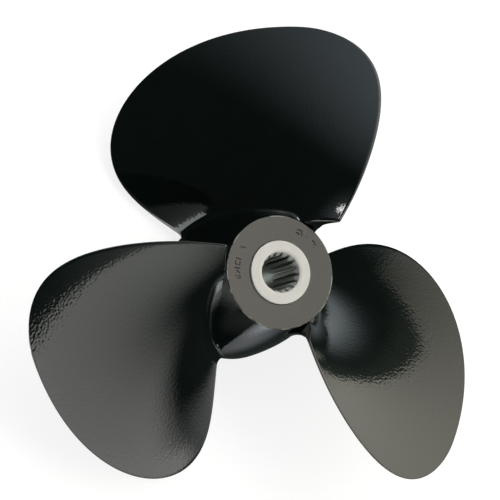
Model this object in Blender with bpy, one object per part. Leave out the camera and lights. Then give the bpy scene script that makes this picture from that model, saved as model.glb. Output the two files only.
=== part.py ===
"""Left-hand three-bladed ship propeller, 381 mm across, with a splined sleeve in a rubber bush.

The shaft axis is Z. The hub's forward end stands on Z = 0, and +Z points aft.
All lengths are in metres and all angles in degrees unless a name says otherwise.
"""

import math

import bpy
import numpy as np

# Driving dimensions

BLADES = 3
PITCH = 0.4368
HUB_LENGTH = 0.1000
HELIX_ABOVE_HUB = 0.0535
GAP = 0.0003

# Free edge of the pressure face as (radius, angle) control points about the shaft

INNER_EDGE_START = (0.0375, 51.0)
TRAILING_CORNER = (0.0518, 25.6)
TRAILING_EDGE = (TRAILING_CORNER, (0.1427, 39.9), (0.1905, 39.1), (0.1905, 59.5))
LEADING_EDGE = (
    (0.1905, 59.5),
    (0.1905, 67.4),
    (0.1778, 73.2),
    (0.1893, 141.4),
    (0.0432, 117.6),
)
CORNER_ROUND = 0.0018

# Blade thickness

EDGE_THICKNESS = 0.0011
TRAILING_ROOT_EDGE = 0.0016
LEADING_ROOT_EDGE = 0.0058
EDGE_REACH = 0.0130
ROOT_THICKNESS = 0.0105
TIP_THICKNESS = 0.0026
THICKNESS_FALL = 0.8
EDGE_ROUND = 0.0009
EDGE_ROUND_SHARE = 0.42
TIP_RADIUS = 0.1905
PRESSURE_FILLET = 0.0065
BACK_FILLET_TRAILING = 0.0125
BACK_FILLET_LEADING = 0.0075
LEADING_FILLET = 0.0020
FILLET_FADE = 0.0150

# Hub

HUB_AFT_RADIUS = 0.0414
HUB_FORWARD_RADIUS = 0.0533
HUB_CURVE = 1.85
HUB_FORWARD_ROUND = 0.0035
HUB_AFT_CHAMFER = 0.0007
LIP_RADIUS = 0.0234
LIP_DEPTH = 0.0070
SEAT_RADIUS = 0.0310
SEAT_CHAMFER = 0.0020

# Bush and sleeve

BUSH_FORWARD = 0.0080
SLEEVE_RADIUS = 0.0231
SLEEVE_FORWARD = 0.0030
SLEEVE_PROUD = 0.0016
SLEEVE_CHAMFER = 0.0003
TEETH = 17
TOOTH_TIP_RADIUS = 0.0127
TOOTH_ROOT_RADIUS = 0.0148
MOUTH_RADIUS = 0.0168
MOUTH_DIP = 0.0004
LEAD_IN = 0.0048
TOOTHED_LENGTH = 0.0460
COUNTERBORE_RADIUS = 0.0158

# Fineness of the mesh

HUB_SIDES = 60
BUSH_SIDES = 48
BLADE_COLUMNS = 10
ROOT_STATIONS = (0.0, 0.0078, 0.0086, 0.0100, 0.0125, 0.0160, 0.0220, 0.0270)
CORNER_STATIONS = (0.0295, 0.0304, 0.0313, 0.0322, 0.0345, 0.0390)
OUTER_STATION_STEP = 0.0095
DIRECTION_STEP = 0.0006
ROOT_FOLLOW_REACH = 0.0300
HUB_PROFILE_ROWS = 6
SMOOTH_ANGLE = 35.0

HELIX_RISE = PITCH / (2.0 * math.pi)


def clear_scene():
    """Empty the file so that it holds only what is made below."""
    for thing in list(bpy.data.objects):
        bpy.data.objects.remove(thing, do_unlink=True)


def paint(name, colour, roughness, metallic):
    """A material with one colour, roughness and metallic value."""
    material = bpy.data.materials.new(name)
    material.use_nodes = True
    shader = material.node_tree.nodes["Principled BSDF"]
    shader.inputs["Base Color"].default_value = (*colour, 1.0)
    shader.inputs["Roughness"].default_value = roughness
    shader.inputs["Metallic"].default_value = metallic
    material.diffuse_color = (*colour, 1.0)
    return material


def add_object(name, vertices, faces, material):
    """A named object from vertex and face lists, shaded smooth across its gentle edges."""
    mesh = bpy.data.meshes.new(name)
    mesh.from_pydata([tuple(v) for v in vertices], [], faces)
    mesh.validate()
    mesh.update()
    mesh.materials.append(material)
    thing = bpy.data.objects.new(name, mesh)
    bpy.context.scene.collection.objects.link(thing)
    mesh.shade_smooth()
    mesh.set_sharp_from_angle(angle=math.radians(SMOOTH_ANGLE))
    return thing


def bezier(controls, steps):
    """Points along a Bezier curve of any degree, as an array of (radius, angle in radians)."""
    points = np.array(controls, float)
    points[:, 1] = np.radians(points[:, 1])
    degree = len(points) - 1
    t = np.linspace(0.0, 1.0, steps)[:, None]
    total = np.zeros((steps, 2))
    for k in range(degree + 1):
        weight = math.comb(degree, k) * t**k * (1.0 - t) ** (degree - k)
        total += weight * points[k]
    return total


def helix_height(angle):
    """Height of the pressure face, a screw surface of constant pitch, at an angle in radians."""
    return HUB_LENGTH + HELIX_ABOVE_HUB - HELIX_RISE * angle


def stretch(radius):
    """Length of a helix line at this radius for one radian of turn."""
    return np.sqrt(radius**2 + HELIX_RISE**2)


def hub_radius(height):
    """Outer radius of the hub, largest forward and falling ever faster towards the aft face."""
    share = np.clip(height / HUB_LENGTH, 0.0, 1.0)
    return HUB_FORWARD_RADIUS - (HUB_FORWARD_RADIUS - HUB_AFT_RADIUS) * share**HUB_CURVE


def distance_from_hub(radius, height):
    """Distance of a point from the hub's flank or aft rim, counted negative inside the hub."""
    beside = radius - hub_radius(height)
    beyond = np.hypot(np.maximum(radius - HUB_AFT_RADIUS, 0.0), height - HUB_LENGTH)
    return np.where(height > HUB_LENGTH, beyond, beside)


def smooth_step(x):
    """Rises from 0 to 1 with a level start and end."""
    x = np.clip(x, 0.0, 1.0)
    return x * x * (3.0 - 2.0 * x)


def fillet(distance, size):
    """Extra thickness of a round fillet at this distance from the hub."""
    rest = np.clip(size - distance, 0.0, size)
    return size - np.sqrt(np.maximum(size**2 - rest**2, 0.0))


def chord_share(radius, angle):
    """Place across the blade at this radius, from 0 at the trailing to 1 at the leading edge."""
    trailing = bezier(TRAILING_EDGE, 200)
    leading = bezier(LEADING_EDGE, 200)[::-1]
    start = np.interp(radius, trailing[:, 0], trailing[:, 1])
    end = np.interp(radius, leading[:, 0], leading[:, 1])
    return np.clip((angle - start) / np.maximum(end - start, 1e-6), 0.0, 1.0)


def section_thickness(radius, share):
    """Blade thickness without its root fillet: a curved back over a flat face at every radius.

    The two edges have the same small thickness far out and grow thicker towards the hub.
    """
    span = np.clip((radius - HUB_AFT_RADIUS) / (TIP_RADIUS - HUB_AFT_RADIUS), 0.0, 1.0)
    thickest = ROOT_THICKNESS + (TIP_THICKNESS - ROOT_THICKNESS) * span**THICKNESS_FALL
    near_root = np.exp(-np.maximum(radius - HUB_AFT_RADIUS, 0.0) / EDGE_REACH)
    extra = TRAILING_ROOT_EDGE + (LEADING_ROOT_EDGE - TRAILING_ROOT_EDGE) * share
    edge = EDGE_THICKNESS + extra * near_root
    return edge + (thickest - EDGE_THICKNESS) * 4.0 * share * (1.0 - share)


def face_offsets(radius, angle):
    """How far the two faces of the blade lie from the screw surface, counted towards the back."""
    height = helix_height(angle)
    fade = smooth_step((HUB_LENGTH - height) / FILLET_FADE)
    pressure = -fillet(distance_from_hub(radius, height), PRESSURE_FILLET) * fade
    share = chord_share(radius, angle)
    back = section_thickness(radius, share)
    rear = blade_point(radius, angle, back)
    from_hub = distance_from_hub(np.hypot(rear[..., 0], rear[..., 1]), rear[..., 2])
    size = BACK_FILLET_TRAILING + (BACK_FILLET_LEADING - BACK_FILLET_TRAILING) * share
    return pressure, back + fillet(from_hub, size)


def blade_point(radius, angle, offset):
    """Points in space from radius, angle and offset arrays; offset runs to the forward side."""
    length = stretch(radius)
    normal = np.stack(
        (
            HELIX_RISE * np.sin(angle) / length,
            -HELIX_RISE * np.cos(angle) / length,
            -radius / length,
        ),
        axis=-1,
    )
    foot = np.stack(
        (radius * np.cos(angle), radius * np.sin(angle), helix_height(angle)),
        axis=-1,
    )
    return foot + normal * offset[..., None]


def run_lengths(line):
    """Distance along a line of (radius, angle) points on the screw surface."""
    step = np.diff(line, axis=0)
    middle = 0.5 * (line[1:, 0] + line[:-1, 0])
    return np.concatenate(
        ([0.0], np.cumsum(np.hypot(step[:, 0], step[:, 1] * stretch(middle))))
    )


def rounded_corner(inner, outer):
    """Inner edge and trailing edge joined by a small round at the trailing corner."""
    inner_run = run_lengths(inner)
    outer_run = run_lengths(outer)
    before = inner_run[-1] - CORNER_ROUND
    start = [np.interp(before, inner_run, inner[:, k]) for k in range(2)]
    end = [np.interp(CORNER_ROUND, outer_run, outer[:, k]) for k in range(2)]
    corner = inner[-1]
    t = np.linspace(0.0, 1.0, 9)[:, None]
    arc = (1 - t) ** 2 * np.array(start) + 2 * t * (1 - t) * corner + t**2 * np.array(end)
    return np.concatenate(
        (inner[inner_run < before], arc, outer[outer_run > CORNER_ROUND])
    )


def free_edge():
    """The blade's free edge, from inside the hub round the trailing corner and tip to the root."""
    start = np.array((INNER_EDGE_START[0], math.radians(INNER_EDGE_START[1])))
    corner = np.array((TRAILING_CORNER[0], math.radians(TRAILING_CORNER[1])))
    t = np.linspace(0.0, 1.0, 60)[:, None]
    inner = start + (corner - start) * t
    outer = bezier(TRAILING_EDGE, 300)
    leading = bezier(LEADING_EDGE, 500)[1:]
    distance = distance_from_hub(leading[:, 0], helix_height(leading[:, 1]))
    leading[:, 1] += fillet(distance, LEADING_FILLET) / stretch(leading[:, 0])
    return np.concatenate((rounded_corner(inner, outer), leading))


def stations(half_length):
    """Distances along the free edge where the blade's rows end, closest at root and corner."""
    rest = half_length - CORNER_STATIONS[-1]
    count = int(round(rest / OUTER_STATION_STEP))
    outer = CORNER_STATIONS[-1] + rest * np.arange(1, count + 1) / count
    return np.concatenate((ROOT_STATIONS, CORNER_STATIONS, outer))


def edge_lines():
    """The free edge sampled from both ends towards its middle, with inward directions."""
    line = free_edge()
    run = run_lengths(line)
    half = 0.5 * run[-1]
    places = stations(half)
    both = []
    for at in (places, run[-1] - places):
        spot = np.stack([np.interp(at, run, line[:, k]) for k in range(2)], axis=1)
        after = at + DIRECTION_STEP
        before = at - DIRECTION_STEP
        ahead = np.stack([np.interp(after, run, line[:, k]) for k in range(2)], axis=1)
        behind = np.stack([np.interp(before, run, line[:, k]) for k in range(2)], axis=1)
        along = ahead - behind
        along[:, 1] *= stretch(spot[:, 0])
        along /= np.linalg.norm(along, axis=1)[:, None]
        inward = np.stack((-along[:, 1], along[:, 0] / stretch(spot[:, 0])), axis=1)
        both.append((spot, inward))
    return places, both[0], both[1]


def edge_rows(spot, inward):
    """Rows of points round the free edge: pressure face, nose and back, and the inner line."""
    pressure, back = face_offsets(spot[:, 0], spot[:, 1])
    rounding = np.minimum(EDGE_ROUND_SHARE * (back - pressure), EDGE_ROUND)
    inner = spot + inward * rounding[:, None]
    nose = blade_point(spot[:, 0], spot[:, 1], 0.5 * (pressure + back))
    front = blade_point(inner[:, 0], inner[:, 1], pressure)
    rear = blade_point(inner[:, 0], inner[:, 1], back)
    return front, nose, rear, inner


def inner_columns(places, trailing, leading):
    """Interior points of both faces on lines that cross the blade from edge to edge."""
    share = np.linspace(0.0, 1.0, BLADE_COLUMNS + 2)[1:-1]
    across = trailing[:, None, :] + (leading - trailing)[:, None, :] * share[None, :, None]
    radius = across[..., 0]
    angle = across[..., 1]
    depth = (places - places[1])[:, None]
    follow = np.exp(-((np.maximum(depth, 0.0) / ROOT_FOLLOW_REACH) ** 2)) * (depth >= 0.0)
    level = 1.0 - (2.0 * share - 1.0) ** 6
    wanted = hub_radius(helix_height(angle)) + depth
    radius = radius + (wanted - radius) * follow * level[None, :]
    pressure, back = face_offsets(radius, angle)
    return blade_point(radius, angle, pressure), blade_point(radius, angle, back)


def blade_mesh():
    """One blade as a closed skin: rows of loops from the root, closed at the middle of the edge."""
    places, trailing_side, leading_side = edge_lines()
    trailing = edge_rows(*trailing_side)
    leading = edge_rows(*leading_side)
    pressure, back = inner_columns(places, trailing[3], leading[3])
    rows = len(places)
    columns = BLADE_COLUMNS
    ring = 6 + 2 * columns
    loops = [trailing[1], trailing[0]]
    loops += [pressure[:, k] for k in range(columns)]
    loops += [leading[0], leading[1], leading[2]]
    loops += [back[:, k] for k in reversed(range(columns))]
    loops += [trailing[2]]
    vertices = np.stack(loops, axis=1)
    index = np.arange(rows * ring).reshape(rows, ring)
    last = index[-1]
    last[2 : 3 + columns] = last[1]
    last[3 + columns] = last[0]
    last[4 + columns : ring - 1] = last[ring - 1]
    faces = []
    for i in range(rows - 1):
        for j in range(ring):
            n = (j + 1) % ring
            add_quad(faces, index[i, n], index[i, j], index[i + 1, j], index[i + 1, n])
    close_root(faces, index[0], columns)
    return compact(vertices.reshape(-1, 3), faces)


def add_quad(faces, a, b, c, d):
    """Two triangles over four corners, leaving out any that has no area."""
    for corner in ((a, b, c), (a, c, d)):
        if len(set(corner)) == 3:
            faces.append(tuple(int(v) for v in corner))


def close_root(faces, loop, columns):
    """Close the blade's root loop with a strip from the pressure face to the back."""
    ring = len(loop)
    for k in range(3 + columns):
        left, next_left = loop[k], loop[k + 1]
        right, next_right = loop[-k % ring], loop[-(k + 1) % ring]
        add_quad(faces, left, next_left, next_right, right)


def compact(vertices, faces):
    """Keep only the vertices that faces use."""
    used = sorted({v for face in faces for v in face})
    place = {v: k for k, v in enumerate(used)}
    return vertices[used], [tuple(place[v] for v in face) for face in faces]


def turned(vertices, angle):
    """Points turned about the shaft by an angle in radians."""
    c = math.cos(angle)
    s = math.sin(angle)
    matrix = np.array(((c, -s, 0.0), (s, c, 0.0), (0.0, 0.0, 1.0)))
    return vertices @ matrix.T


def rings_mesh(rings):
    """A closed ring-shaped skin through equal loops of points, the last joined to the first."""
    loops = np.array(rings)
    count, sides = loops.shape[:2]
    index = np.arange(count * sides).reshape(count, sides)
    faces = []
    for i in range(count):
        k = (i + 1) % count
        for j in range(sides):
            n = (j + 1) % sides
            add_quad(faces, index[i, j], index[i, n], index[k, n], index[k, j])
    return loops.reshape(-1, 3), faces


def circle(radius, height, sides):
    """A level loop of points about the shaft."""
    angle = np.arange(sides) * 2.0 * math.pi / sides
    return np.stack(
        (radius * np.cos(angle), radius * np.sin(angle), np.full(sides, height)),
        axis=1,
    )


def hub_mesh():
    """Hub turned about the shaft: rounded forward rim, curved flank, flat aft face, stepped bore."""
    profile = []
    for angle in (0.0, 30.0, 60.0, 90.0):
        c = math.cos(math.radians(angle))
        s = math.sin(math.radians(angle))
        profile.append(
            (
                HUB_FORWARD_RADIUS - HUB_FORWARD_ROUND * (1.0 - s),
                HUB_FORWARD_ROUND * (1.0 - c),
            )
        )
    low = HUB_FORWARD_ROUND
    high = HUB_LENGTH - HUB_AFT_CHAMFER
    for k in range(1, HUB_PROFILE_ROWS + 1):
        height = low + (high - low) * k / HUB_PROFILE_ROWS
        profile.append((float(hub_radius(height)), height))
    profile.append((HUB_AFT_RADIUS - HUB_AFT_CHAMFER, HUB_LENGTH))
    profile.append((LIP_RADIUS, HUB_LENGTH))
    profile.append((LIP_RADIUS, HUB_LENGTH - LIP_DEPTH))
    profile.append((SEAT_RADIUS, HUB_LENGTH - LIP_DEPTH))
    profile.append((SEAT_RADIUS, SEAT_CHAMFER))
    profile.append((SEAT_RADIUS + SEAT_CHAMFER, 0.0))
    return rings_mesh([circle(r, z, HUB_SIDES) for r, z in profile])


def casting(material):
    """Hub and blades as one casting."""
    hub = add_object("propeller_casting", *hub_mesh(), material)
    vertices, faces = blade_mesh()
    for k in range(BLADES):
        name = f"blade_shape_{k + 1}"
        shape = add_object(name, turned(vertices, k * 2.0 * math.pi / BLADES), faces, material)
        shape.hide_render = True
        shape.display_type = "WIRE"
        joint = hub.modifiers.new(name, "BOOLEAN")
        joint.operation = "UNION"
        joint.solver = "EXACT"
        joint.object = shape
    return hub


def bush(material):
    """Rubber bush between the hub's seat and the sleeve."""
    inner = SLEEVE_RADIUS + GAP
    outer = SEAT_RADIUS - GAP
    top = HUB_LENGTH - LIP_DEPTH - GAP
    profile = ((inner, BUSH_FORWARD), (outer, BUSH_FORWARD), (outer, top), (inner, top))
    rings = [circle(r, z, BUSH_SIDES) for r, z in profile]
    return add_object("rubber_bush", *rings_mesh(rings), material)


def toothed_loop(tip, root, height):
    """A level loop through the tips and roots of the sleeve's inner teeth, a groove at angle 0."""
    points = []
    for k in range(TEETH):
        middle = 360.0 * (k + 0.5) / TEETH
        for turn, radius in ((-0.37, root), (-0.24, tip), (0.24, tip), (0.37, root)):
            angle = math.radians(middle + turn * 360.0 / TEETH)
            points.append((radius * math.cos(angle), radius * math.sin(angle), height))
    return np.array(points)


def sleeve(material):
    """Splined sleeve, proud of the hub's aft face, with teeth inside its aft half."""
    top = HUB_LENGTH + SLEEVE_PROUD
    step = top - TOOTHED_LENGTH
    outer = SLEEVE_RADIUS
    inner = COUNTERBORE_RADIUS
    cut = SLEEVE_CHAMFER
    root = TOOTH_ROOT_RADIUS
    rings = [
        toothed_loop(outer - cut, outer - cut, SLEEVE_FORWARD),
        toothed_loop(outer, outer, SLEEVE_FORWARD + cut),
        toothed_loop(outer, outer, top - cut),
        toothed_loop(outer - cut, outer - cut, top),
        toothed_loop(MOUTH_RADIUS, MOUTH_RADIUS, top),
        toothed_loop(root, root, top - MOUTH_DIP),
        toothed_loop(TOOTH_TIP_RADIUS, root, top - MOUTH_DIP - LEAD_IN),
        toothed_loop(TOOTH_TIP_RADIUS, root, step),
        toothed_loop(inner, inner, step),
        toothed_loop(inner, inner, SLEEVE_FORWARD + cut),
        toothed_loop(inner + cut, inner + cut, SLEEVE_FORWARD),
    ]
    return add_object("splined_sleeve", *rings_mesh(rings), material)


def main():
    """Make the propeller's three pieces."""
    clear_scene()
    casting(paint("gloss_black_paint_on_cast_aluminium", (0.020, 0.021, 0.020), 0.22, 0.0))
    bush(paint("black_moulded_rubber", (0.015, 0.015, 0.015), 0.80, 0.0))
    sleeve(paint("turned_pale_alloy", (0.76, 0.74, 0.69), 0.38, 1.0))


main()
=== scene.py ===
"""Looks of a left-hand ship propeller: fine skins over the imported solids, paint, alloy, rubber.

The frame is in metres: +Z runs aft along the shaft, the hub stands on Z = 0 and blade 1 lies
about +Y. Angles in the tables of sizes are degrees.
"""

import math

import bpy
import numpy as np
from mathutils import Matrix


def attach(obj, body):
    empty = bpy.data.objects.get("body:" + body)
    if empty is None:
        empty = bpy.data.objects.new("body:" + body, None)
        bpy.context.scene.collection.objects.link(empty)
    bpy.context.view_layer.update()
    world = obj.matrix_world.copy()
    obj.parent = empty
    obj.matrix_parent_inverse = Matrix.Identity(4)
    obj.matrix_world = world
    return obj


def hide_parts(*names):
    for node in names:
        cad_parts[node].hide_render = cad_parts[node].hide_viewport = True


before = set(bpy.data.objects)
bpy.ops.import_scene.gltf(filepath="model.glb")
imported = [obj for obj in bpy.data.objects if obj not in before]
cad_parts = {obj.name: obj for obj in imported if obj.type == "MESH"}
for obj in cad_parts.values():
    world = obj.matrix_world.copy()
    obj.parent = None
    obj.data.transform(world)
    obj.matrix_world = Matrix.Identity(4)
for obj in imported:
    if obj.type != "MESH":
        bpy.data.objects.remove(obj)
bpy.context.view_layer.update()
MILLIMETRE = 0.001

# Sizes of the casting, as in the solids

PITCH = 0.4368
HELIX_RISE = PITCH / (2.0 * math.pi)
HUB_LENGTH = 0.1000
HELIX_ABOVE_HUB = 0.0535
HUB_AFT_RADIUS = 0.0414
HUB_FORWARD_RADIUS = 0.0533
HUB_CURVE = 1.85
HUB_FORWARD_ROUND = 0.0035
HUB_AFT_ROUND = 0.0007
LIP_RADIUS = 0.0234
LIP_ROUND = 0.0002
LIP_DEPTH = 0.0070
SEAT_RADIUS = 0.0310
SEAT_CHAMFER = 0.0020

INNER_EDGE_START = (0.0375, 51.0)
TRAILING_CORNER = (0.0518, 25.6)
TRAILING_EDGE = (TRAILING_CORNER, (0.1427, 39.9), (0.1905, 39.1), (0.1905, 59.5))
LEADING_EDGE = (
    (0.1905, 59.5),
    (0.1905, 67.4),
    (0.1778, 73.2),
    (0.1893, 141.4),
    (0.0432, 117.6),
)
CORNER_ROUND = 0.0018
EDGE_THICKNESS = 0.0011
TRAILING_ROOT_EDGE = 0.0016
LEADING_ROOT_EDGE = 0.0058
EDGE_REACH = 0.0130
ROOT_THICKNESS = 0.0105
TIP_THICKNESS = 0.0026
THICKNESS_FALL = 0.8
EDGE_ROUND = 0.0009
EDGE_ROUND_SHARE = 0.42
TIP_RADIUS = 0.1905
PRESSURE_FILLET = 0.0065
BACK_FILLET_TRAILING = 0.0125
BACK_FILLET_LEADING = 0.0075
LEADING_FILLET = 0.0020
FILLET_FADE = 0.0150

# Sizes of the sleeve and the rubber

GAP = 0.0003
BUSH_FORWARD = 0.0080
SLEEVE_RADIUS = 0.0231
SLEEVE_FORWARD = 0.0030
SLEEVE_PROUD = 0.0016
SLEEVE_ROUND = 0.0004
TEETH = 17
TOOTH_TIP_RADIUS = 0.0127
TOOTH_ROOT_RADIUS = 0.0148
MOUTH_RADIUS = 0.0168
MOUTH_DIP = 0.0004
LEAD_IN = 0.0048
TOOTHED_LENGTH = 0.0460
COUNTERBORE_RADIUS = 0.0158
SLEEVE_AFT = HUB_LENGTH + SLEEVE_PROUD

# The photograph's camera: where the hub's aft face is in its 500 x 500 frame

FRAME_SIDE = 500.0
FOCAL_PIXELS = 2639.0
HUB_PIXEL = (280.1, 272.5)
CAMERA_RIGHT = (0.8683, -0.3014, 0.3940)
CAMERA_UP = (0.2745, 0.9535, 0.1246)
CAMERA_DISTANCE = 1.896
CAMERA_REACH = 100.0
SENSOR = 36.0

# The floor disc and the dome over it

STAGE_RADIUS = 14.0
STAGE_SIDES = 64
DOME_ROWS = 17
FLOOR_HEIGHT = -0.0002


# Meshes

SMOOTH_ANGLE = 40.0


def solid_from(name, points, faces, material, smooth_angle=SMOOTH_ANGLE):
    """A mesh object from a point array and a face list, shaded smooth below this edge angle."""
    mesh = bpy.data.meshes.new(name)
    mesh.from_pydata(points.tolist(), [], faces.tolist())
    mesh.update()
    mesh.materials.append(material)
    mesh.shade_smooth()
    mesh.set_sharp_from_angle(angle=math.radians(smooth_angle))
    piece = bpy.data.objects.new(name, mesh)
    bpy.context.scene.collection.objects.link(piece)
    return piece


def ring_faces(rows, sides):
    """Quads between neighbouring loops, where the last loop joins the first again."""
    i, j = np.meshgrid(np.arange(rows), np.arange(sides), indexing="ij")
    k = (i + 1) % rows
    n = (j + 1) % sides
    corners = (i * sides + j, i * sides + n, k * sides + n, k * sides + j)
    return np.stack(corners, axis=-1).reshape(-1, 4)


def turned_points(radius, height, angle):
    """Points radius * (cos angle, sin angle) at a height, for arrays that spread on each other."""
    radius, height, angle = np.broadcast_arrays(radius, height, angle)
    return np.stack((radius * np.cos(angle), radius * np.sin(angle), height), axis=-1)


def quarter_round(centre_radius, centre_height, size, start, steps):
    """Profile points of a quarter circle of this size, from a start angle turning left."""
    angle = np.radians(np.linspace(start, start + 90.0, steps))
    across = centre_radius + size * np.cos(angle)
    return np.stack((across, centre_height + size * np.sin(angle)), axis=1)


def straight(start, end, steps):
    """Profile points evenly along a line, without the two ends."""
    share = np.linspace(0.0, 1.0, steps + 2)[1:-1, None]
    return np.array(start) + (np.array(end) - np.array(start)) * share


def smooth_step(x):
    """Rises from 0 to 1 as 3x^2 - 2x^3, level at both ends."""
    x = np.clip(x, 0.0, 1.0)
    return x * x * (3.0 - 2.0 * x)


# Blade

OUTLINE_STEPS = 400
HALVINGS = 18
INNER_EDGE_STEPS = 90
TRAILING_EDGE_STEPS = 500
LEADING_EDGE_STEPS = 900
CORNER_STEPS = 21


def bezier(controls, steps):
    """Points (radius, angle in radians) as the sum of controls weighted by Bernstein terms."""
    points = np.array(controls, float)
    points[:, 1] = np.radians(points[:, 1])
    degree = len(points) - 1
    t = np.linspace(0.0, 1.0, steps)[:, None]
    terms = [math.comb(degree, k) * t**k * (1.0 - t) ** (degree - k) for k in range(degree + 1)]
    return sum(term * points[k] for k, term in enumerate(terms))


def helix_height(angle):
    """Height of the pressure face: it falls by the pitch over 2 pi for each radian of turn."""
    return HUB_LENGTH + HELIX_ABOVE_HUB - HELIX_RISE * angle


def stretch(radius):
    """Length of a helix line per radian: root of radius squared plus rise squared."""
    return np.sqrt(radius**2 + HELIX_RISE**2)


def hub_radius(height):
    """Hub's outer radius: the forward one less a share of the taper that grows as a power."""
    share = np.clip(height / HUB_LENGTH, 0.0, 1.0)
    return HUB_FORWARD_RADIUS - (HUB_FORWARD_RADIUS - HUB_AFT_RADIUS) * share**HUB_CURVE


def distance_from_hub(radius, height):
    """Radius less the hub's radius beside the hub, and the distance from its rim above it."""
    beside = radius - hub_radius(height)
    beyond = np.hypot(np.maximum(radius - HUB_AFT_RADIUS, 0.0), height - HUB_LENGTH)
    return np.where(height > HUB_LENGTH, beyond, beside)


def fillet(distance, size):
    """Rise of a quarter circle of this size that ends tangent to the hub at distance 0."""
    rest = np.clip(size - distance, 0.0, size)
    return size - np.sqrt(np.maximum(size**2 - rest**2, 0.0))


def screw_point(radius, angle, offset):
    """Point of the screw surface plus offset times its unit normal towards the forward side."""
    length = stretch(radius)
    x = radius * np.cos(angle) + offset * HELIX_RISE * np.sin(angle) / length
    y = radius * np.sin(angle) - offset * HELIX_RISE * np.cos(angle) / length
    z = helix_height(angle) - offset * radius / length
    return np.stack((x, y, z), axis=-1)


def distance_of_face(radius, angle, offset):
    """Distance from the hub of the point that lies this far off the screw surface."""
    spot = screw_point(radius, angle, offset)
    return distance_from_hub(np.hypot(spot[..., 0], spot[..., 1]), spot[..., 2])


def settled_offset(radius, angle, base, size, sense):
    """Offset base + fillet(distance of the offset point itself), found by halving the range.

    The excess of a trial offset over that sum grows with the trial, so each step keeps the
    half in which it changes sign. Sense is +1 towards the back and -1 towards the water.
    """
    low = np.zeros_like(radius)
    high = np.broadcast_to(size, radius.shape) * 1.0
    for _ in range(HALVINGS):
        middle = 0.5 * (low + high)
        gap = distance_of_face(radius, angle, sense * (base + middle))
        over = middle > fillet(gap, size)
        high = np.where(over, middle, high)
        low = np.where(over, low, middle)
    return sense * (base + 0.5 * (low + high))


def chord_share(radius, angle):
    """Place across the blade at this radius: 0 at the trailing edge and 1 at the leading edge."""
    trailing = bezier(TRAILING_EDGE, OUTLINE_STEPS)
    leading = bezier(LEADING_EDGE, OUTLINE_STEPS)[::-1]
    start = np.interp(radius, trailing[:, 0], trailing[:, 1])
    end = np.interp(radius, leading[:, 0], leading[:, 1])
    return np.clip((angle - start) / np.maximum(end - start, 1e-6), 0.0, 1.0)


def face_offsets(radius, angle):
    """Offsets of the pressure face and of the back from the screw surface.

    The section is edge + (thickest - edge) * 4 x (1 - x) across the blade. The thickest part
    falls towards the tip as a power of the span, and the edge grows towards the hub as an
    exponential. Both faces then rise into their root fillets.
    """
    share = chord_share(radius, angle)
    span = np.clip((radius - HUB_AFT_RADIUS) / (TIP_RADIUS - HUB_AFT_RADIUS), 0.0, 1.0)
    thickest = ROOT_THICKNESS + (TIP_THICKNESS - ROOT_THICKNESS) * span**THICKNESS_FALL
    near_root = np.exp(-np.maximum(radius - HUB_AFT_RADIUS, 0.0) / EDGE_REACH)
    extra = TRAILING_ROOT_EDGE + (LEADING_ROOT_EDGE - TRAILING_ROOT_EDGE) * share
    edge = EDGE_THICKNESS + extra * near_root
    section = edge + (thickest - EDGE_THICKNESS) * 4.0 * share * (1.0 - share)
    size = BACK_FILLET_TRAILING + (BACK_FILLET_LEADING - BACK_FILLET_TRAILING) * share
    back = settled_offset(radius, angle, section, size, 1.0)
    fade = smooth_step((HUB_LENGTH - helix_height(angle)) / FILLET_FADE)
    front = settled_offset(radius, angle, np.zeros_like(radius), PRESSURE_FILLET, -1.0)
    return front * fade, back


def run_lengths(line):
    """Running length of a (radius, angle) line, each step stretched as on the screw surface."""
    step = np.diff(line, axis=0)
    middle = 0.5 * (line[1:, 0] + line[:-1, 0])
    pieces = np.hypot(step[:, 0], step[:, 1] * stretch(middle))
    return np.concatenate(([0.0], np.cumsum(pieces)))


def free_edge():
    """Free edge: a straight polar line out of the hub, a rounded corner, then two Bezier arcs.

    The corner is a parabola between points one corner round away on either side. Near the
    hub the leading edge moves out in angle by its own small fillet.
    """
    start = np.array((INNER_EDGE_START[0], math.radians(INNER_EDGE_START[1])))
    corner = np.array((TRAILING_CORNER[0], math.radians(TRAILING_CORNER[1])))
    inner = start + (corner - start) * np.linspace(0.0, 1.0, INNER_EDGE_STEPS)[:, None]
    outer = bezier(TRAILING_EDGE, TRAILING_EDGE_STEPS)
    inner_run = run_lengths(inner)
    outer_run = run_lengths(outer)
    stop = inner_run[-1] - CORNER_ROUND
    before = np.array([np.interp(stop, inner_run, inner[:, k]) for k in range(2)])
    after = np.array([np.interp(CORNER_ROUND, outer_run, outer[:, k]) for k in range(2)])
    t = np.linspace(0.0, 1.0, CORNER_STEPS)[:, None]
    arc = (1 - t) ** 2 * before + 2 * t * (1 - t) * corner + t**2 * after
    leading = bezier(LEADING_EDGE, LEADING_EDGE_STEPS)[1:]
    gap = distance_from_hub(leading[:, 0], helix_height(leading[:, 1]))
    leading[:, 1] += fillet(gap, LEADING_FILLET) / stretch(leading[:, 0])
    parts = (inner[inner_run < stop], arc, outer[outer_run > CORNER_ROUND], leading)
    return np.concatenate(parts)


# Rows and columns of a blade's skin. The free edge comes out of the hub at the root place
# along its length, and the rows grow wider apart at each reach beyond there.

ROOT_PLACE = 0.0078
ROOT_SINK = 0.0036
CLOSE_REACH = 0.0140
CLOSE_STEP = 0.00045
MIDDLE_REACH = 0.0390
MIDDLE_STEP = 0.0008
FAR_STEP = 0.0016
ROOT_FOLLOW_REACH = 0.0300
ROOT_FOLLOW_FROM = -0.0050
ROOT_FOLLOW_POWER = 6
BLADE_COLUMNS = 72
NOSE_STEPS = 7
TANGENT_REACH = 0.0006


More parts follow.
